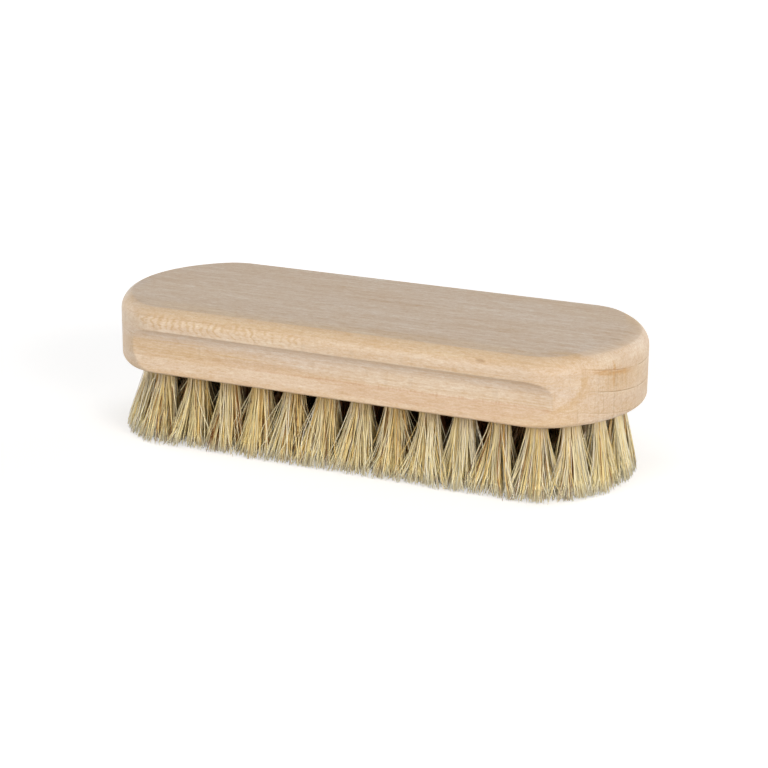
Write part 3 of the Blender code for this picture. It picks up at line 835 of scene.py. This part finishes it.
def hairTubes(path, radius, spin):
    # Three-sided tubes along paths, hairs by points by 3. Their sides start near X, square to the path
    tangent = np.gradient(path, axis=1)
    tangent /= np.linalg.norm(tangent, axis=-1, keepdims=True)
    side = np.array((1.0, 0, 0)) - tangent * tangent[..., :1]
    side /= np.linalg.norm(side, axis=-1, keepdims=True)
    other = np.cross(tangent, side)
    turn = (spin[:, None] + np.arange(3) * 2 * math.pi / 3)[:, None, :, None]
    ring = np.cos(turn) * side[:, :, None] + np.sin(turn) * other[:, :, None]
    points = path[:, :, None] + ring * radius[:, :, None, None]
    hairs, steps = path.shape[:2]
    quads = gridFaces(steps, 3, closed=True)
    starts = np.arange(hairs)[:, None, None] * steps * 3
    caps = np.array([[2, 1, 0], [steps * 3 - 3, steps * 3 - 2, steps * 3 - 1]])
    faces = (quads[None] + starts).reshape(-1, 4).tolist() + (caps[None] + starts).reshape(-1, 3).tolist()
    return points.reshape(-1, 3), faces


def holdInside(points, outline, outward, gap, form):
    # Points nearer to the outline than the gap move inwards by what is missing, less the share of it that is
    # kept: hold / (1 + fall * missing)
    away = np.linalg.norm(points[:, None] - outline[None], axis=-1)
    nearest = np.argmin(away, axis=1)
    inside = -np.sum((points - outline[nearest]) * outward[nearest], axis=-1)
    missing = np.maximum(gap - inside, 0)
    kept = missing * form["rimHold"] / (1 + form["rimHoldFall"] * missing)
    return points - outward[nearest] * (missing - kept)[:, None]


def holdRing(form, path, step, centre, rim):
    # Holds a ring tuft's hairs inside the outline, more so at the block's ends, and its roots in their hole
    atRoot, atTip = form["rimGap"]
    endRoot, endTip = form["endGap"]["left" if centre[0] < 0 else "right"]
    nearEnd = np.interp(abs(centre[0]), form["endFrom"], (0, 1))
    for index, share in enumerate(step):
        gap = atRoot + (atTip - atRoot) * share + nearEnd * (endRoot + (endTip - endRoot) * share)
        path[:, index, :2] = holdInside(path[:, index, :2], *rim, gap, form)
    away = path[:, 0, :2] - centre
    far = np.maximum(np.linalg.norm(away, axis=1, keepdims=True) / form["bundleRadius"], 1)
    path[:, 0, :2] = centre + away / far


def hairEnds(form, roots, lock, locks, place, rim, chance):
    # Paths from the mouth of the hole to the tips. Seen from above, a path goes the share step * (1 - bend) +
    # step squared * bend of its way, plus a bow that is greatest two thirds of the way down, plus a wave.
    count = len(roots)
    away = np.linalg.norm(roots, axis=1, keepdims=True)
    share = (away / form["bundleRadius"]) ** form["flarePower"]
    spread = roots / np.maximum(away, 1e-6) * (share * place["reach"] * form["flare"])

    # Locks: neighbouring hairs lean the same way and draw together at the tip
    members = np.maximum(np.bincount(lock, minlength=form["locks"]), 1)[:, None]
    middle = np.stack([np.bincount(lock, spread[:, axis], form["locks"]) for axis in (0, 1)], -1) / members
    pull = locks["pull"][lock][:, None]
    spread = spread * (1 - pull) + middle[lock] * pull + locks["lean"][lock]
    least, most = form["hairLean"]
    lean = chance.normal(0, 1, (count, 2))
    spread += lean * (least + (most - least) * chance.random((count, 1)) ** form["leanPower"])
    stray = chance.random(count) < form["strayShare"]
    spread[stray] += chance.normal(0, form["strayReach"], (stray.sum(), 2))

    low = form["trimLevel"] + locks["trim"][lock] + np.abs(chance.normal(0, form["trimUneven"], count))
    low[stray] += chance.random(stray.sum()) * form["strayTrim"]
    end = np.concatenate([place["tips"] + spread, low[:, None]], -1)
    start = np.concatenate([place["centre"] + roots, np.full((count, 1), place["mouth"])], -1)

    step = np.linspace(0, 1, form["visiblePoints"])[None, :, None]
    path = start[:, None] * (1 - step) + end[:, None] * step
    bend = chance.uniform(*form["bend"], (count, 1, 1))
    bend[stray] = chance.uniform(*form["strayBend"], (stray.sum(), 1, 1))
    curve = step * (1 - bend) + step ** 2 * bend
    path[..., :2] = start[:, None, :2] + (end - start)[:, None, :2] * curve
    bow = chance.normal(0, form["bow"], (count, 2)) + locks["bow"][lock]
    bow[stray] *= form["strayBow"]
    path[..., :2] += 6 * step ** 2 * (1 - step) * bow[:, None]
    path[..., :2] += np.sin(2 * math.pi * step) * step * chance.normal(0, form["wave"], (count, 1, 2))
    if place["nearRim"]:
        holdRing(form, path, step[0, :, 0], place["centre"], rim)
    return path, stray


def foldPaths(form, roots, centre):
    # Half an ellipse over the staple, wider for the hairs further from it
    turn = np.linspace(0, math.pi, form["foldPoints"])[None]
    room, radius = form["stapleRoom"], form["bundleRadius"]
    wide = room + roots[:, 1:] * (radius - room) / radius
    fold = np.stack([np.broadcast_to(roots[:, :1], (len(roots), turn.shape[1])), wide * np.cos(turn),
                     form["stapleLevel"] + wide * form["foldHigh"] * np.sin(turn)], -1)
    fold[..., :2] += centre
    return fold


def makeTuft(name, form, place, rim, chance):
    # Roots lie in a sunflower pattern. Each hair starts on one side of the staple and ends on the other.
    count = 2 * form["hairs"]
    order = np.arange(count) + 0.5
    golden = (1 + math.sqrt(5)) / 2
    turn = roundTurn((order / golden + chance.random()) * 2 * math.pi)
    sunflower = form["bundleRadius"] * np.sqrt(order / count)[:, None] * turn
    roots = sunflower[np.argsort(sunflower[:, 1])][form["hairs"]:]
    number = form["locks"]
    seeds = form["bundleRadius"] * np.sqrt(chance.random(number))[:, None]
    seeds = seeds * roundTurn(chance.random(number) * 2 * math.pi)
    seeds[:, 1] = np.abs(seeds[:, 1])
    lock = np.argmin(np.linalg.norm(roots[:, None] - seeds[None], axis=-1), axis=1)
    halves = []
    for flip in ((1, 1), (1, -1)):
        locks = dict(pull=chance.uniform(*form["lockPull"], number),
                     lean=chance.normal(0, form["lockLean"], (number, 2)),
                     trim=chance.random(number) * form["lockTrim"],
                     bow=chance.normal(0, form["lockBow"], (number, 2)))
        halves.append(hairEnds(form, roots * flip, lock, locks, place, rim, chance))
    (first, strayFirst), (second, straySecond) = halves
    path = np.concatenate([first[:, ::-1], foldPaths(form, roots, place["centre"]), second], 1)

    # Tubes, thinner towards their tips
    thick = chance.uniform(*form["hairRadius"], len(roots))[:, None]
    toRoot = np.linspace(0, 1, form["visiblePoints"])
    along = np.concatenate([toRoot, np.full(form["foldPoints"], form["foldAlong"]), toRoot[::-1]])
    thinFrom, thinTo = form["tipThin"]
    radius = thick * np.interp(along, [0, thinFrom], [thinTo, 1.0])[None]
    points, faces = hairTubes(path, radius, chance.random(len(roots)) * 2 * math.pi)
    piece = newPiece(f"{name}_bristles", points, faces, bristleHair)
    piece.data.shade_smooth()

    # For the material: each hair's tone, the place along it, and how much painted shade it gets for how deep
    # it stands among the others
    x = place["centre"][0]
    lockTone = chance.normal(0, form["lockTone"], number)
    lockTone[chance.random(number) < form["brownLocks"]] = form["brownLockTone"]
    # Painted shade: the core gets a darker tone, and more shade towards its roots
    core = np.full(len(roots), form["innerCore"])
    deep = np.interp(x, form["deepFrom"], form["deepBy"])
    if place["nearRim"]:
        core = np.clip(form["coreReach"] - np.linalg.norm(roots, axis=1) / form["bundleRadius"], 0, 1)
        deep = form["ringDeep"]
    deep = np.maximum(deep, form["coreDeep"] * core)
    # Painted light: the hair is paler towards the block's ends
    paintedLight = np.interp(x, form["paintedLightFrom"], form["paintedLightBy"])
    tone = chance.uniform(*form["toneRange"], len(roots)) + lockTone[lock] + paintedLight - form["coreShadeTone"] * core
    tone[chance.random(len(roots)) < form["brownHairs"]] += form["brownHairTone"]
    tone = np.clip(tone, *form["toneLimits"])
    stray = strayFirst | straySecond
    tone[stray] = np.maximum(tone[stray], form["strayTone"])
    for label, values in (("tone", tone[:, None]), ("along", along[None]), ("deep", deep[:, None])):
        storeValues(piece.data, label, np.repeat(np.broadcast_to(values, path.shape[:2]).ravel(), 3))
    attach(piece, "root")
    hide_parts(name)


def makeTufts(form, places):
    # A tuft has its own seed, leans by its place along the block, and spreads by its distance to the next
    low, high = nodeBox("wood_block")
    rim = outlineLoop(block, high[0], high[1])
    names = sorted(places)
    centres = np.array([places[name][0] for name in names])
    gaps = np.linalg.norm(centres[:, None] - centres[None], axis=-1)
    np.fill_diagonal(gaps, np.inf)
    for index, name in enumerate(names):
        centre, tips = places[name]
        chance = np.random.default_rng(form["firstSeed"] + index)
        lean = np.array((np.interp(centre[0], form["leanFrom"], form["leanBy"]), 0))
        lean += chance.normal(0, form["leanUneven"], 2)
        place = dict(centre=centre, tips=tips + lean, reach=gaps[index].min() / 2, mouth=low[2],
                     nearRim="ring" in name)
        makeTuft(name, form, place, rim, chance)


makeTufts(tuft, places)
print("tufts made")


# Wire staples, flat bars with rounded corners that hold the folds
staple = dict(
    length=5.1,
    height=1.6,
    thickness=0.5,
    corner=3.5,  # 2 is an ellipse, and more is squarer
    around=16,
    cutShare=0.985,  # share of the length where it starts to narrow
    cutSize=0.85,
    sharpAngle=40,
)


def makeStaples(form, places, level):
    # A section of a cosine and a sine raised to 2 / corner, carried along X, and drawn in at its cut ends
    circle = roundTurn(np.linspace(0, 2 * math.pi, form["around"], endpoint=False))
    halves = np.array((form["thickness"], form["height"])) / 2
    section = np.sign(circle) * np.abs(circle) ** (2 / form["corner"]) * halves
    cut, left = form["cutShare"], form["cutSize"]
    along = np.array([-1, -1, -cut, 0, cut, 1, 1]) * form["length"] / 2
    scale = np.array([0, left, 1, 1, 1, left, 0])
    bar = np.concatenate([np.broadcast_to(along[:, None, None], (len(along), len(circle), 1)),
                          section[None] * scale[:, None, None]], -1).reshape(-1, 3)
    quads = gridFaces(len(along), len(circle), closed=True)
    points, faces = [], []
    for centre, _ in places.values():
        faces += (quads + len(bar) * len(points)).tolist()
        points.append(bar + (*centre, level - form["height"] / 2))
    piece = newPiece("wire_staples", np.concatenate(points), faces, stapleWire)
    mergeDoubles(piece.data)
    smoothBelow(piece.data, form["sharpAngle"])
    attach(piece, "root")


makeStaples(staple, places, tuft["stapleLevel"])
print("staples made")


# Stage: white floor and world, a low key light at the front right, and softer ones round about
stage = dict(
    floorSize=6000,
    floorColour=(0.66, 0.64, 0.61),
    floorBounce=(0.60, 0.62, 0.65),
    floorLift=0.60,
    whiteFrom=110,  # the floor turns plain white from here outwards
    whiteTo=380,
    worldLight=0.06,
    worldColour=(0.97, 1.0, 1.03),
    lights=dict(
        key=dict(azimuth=58, elevation=17, distance=900, size=480, power=5.6, colour=(1.0, 0.95, 0.89)),
        fill=dict(azimuth=-20, elevation=13, distance=1000, size=560, power=4.65, colour=(1.0, 0.97, 0.93)),
        side=dict(azimuth=-100, elevation=18, distance=900, size=560, power=2.2, colour=(0.99, 0.98, 1.0)),
        overhead=dict(azimuth=10, elevation=78, distance=900, size=620, power=1.7, colour=(0.92, 1.0, 1.12)),
        back=dict(azimuth=150, elevation=24, distance=1000, size=700, power=3.2, colour=(1, 1, 1)),
    ),
)


def seenRay(tree):
    # 1 for rays that show the backdrop: to the camera, mirrored, or through glass
    path = addNode(tree, "LightPath").outputs
    return reckon(tree, "MAXIMUM", path["Is Camera Ray"],
                  reckon(tree, "MAXIMUM", path["Is Glossy Ray"], path["Is Transmission Ray"]))


def makeFloor(look):
    # It glows where it is seen, up to plain white away from the object, and elsewhere only bounces light
    half = look["floorSize"] / 2
    corners = [(-half, -half, 0), (half, -half, 0), (half, half, 0), (-half, half, 0)]
    material, tree, shader = newMaterial("floor")
    tree.nodes.remove(shader)
    seen = seenRay(tree)
    place = addNode(tree, "TexCoord").outputs["Object"]
    out = addNode(tree, "VectorMath", {0: place}, operation="LENGTH").outputs["Value"]
    lift = between(tree, out, look["whiteFrom"] * mm, look["whiteTo"] * mm, look["floorLift"], 1.0)
    shown = addNode(tree, "AddShader", {
        0: addNode(tree, "BsdfDiffuse", {"Color": look["floorColour"]}).outputs[0],
        1: addNode(tree, "Emission", {"Color": (1, 1, 1), "Strength": lift}).outputs[0]})
    bounced = addNode(tree, "BsdfDiffuse", {"Color": look["floorBounce"]})
    mixed = addNode(tree, "MixShader", {0: seen, 1: bounced.outputs[0], 2: shown.outputs[0]})
    tree.links.new(mixed.outputs[0], tree.nodes["Material Output"].inputs["Surface"])
    newPiece("floor", corners, [(0, 1, 2, 3)], material)


def makeWorld(look):
    # White where it is seen, and a weak even light otherwise
    world = bpy.data.worlds.new("studio")
    bpy.context.scene.world = world
    world.use_nodes = True
    tree = world.node_tree
    tree.nodes.clear()
    light = addNode(tree, "Background", {"Color": look["worldColour"], "Strength": look["worldLight"]})
    white = addNode(tree, "Background", {"Color": (1, 1, 1), "Strength": 1.0})
    mixed = addNode(tree, "MixShader", {0: seenRay(tree), 1: light.outputs[0], 2: white.outputs[0]})
    tree.links.new(mixed.outputs[0], addNode(tree, "OutputWorld").inputs[0])


def makeLights(look, target):
    # Round area lamps, each aimed at the target from its azimuth, elevation and distance
    for name, light in look["lights"].items():
        back = outwardTo(light["azimuth"], light["elevation"])
        data = bpy.data.lights.new(name, "AREA")
        data.shape = "DISK"
        data.size = light["size"] * mm
        data.energy = light["power"]
        data.color = light["colour"]
        lamp = bpy.data.objects.new(name, data)
        lamp.rotation_mode = "QUATERNION"
        lamp.rotation_quaternion = (-back).to_track_quat("-Z", "Y")
        lamp.location = (Vector(target) + back * light["distance"]) * mm
        bpy.context.scene.collection.objects.link(lamp)


makeFloor(stage)
makeWorld(stage)
makeLights(stage, shot["target"])
bpy.context.scene.view_settings.view_transform = "Standard"
print("stage set")
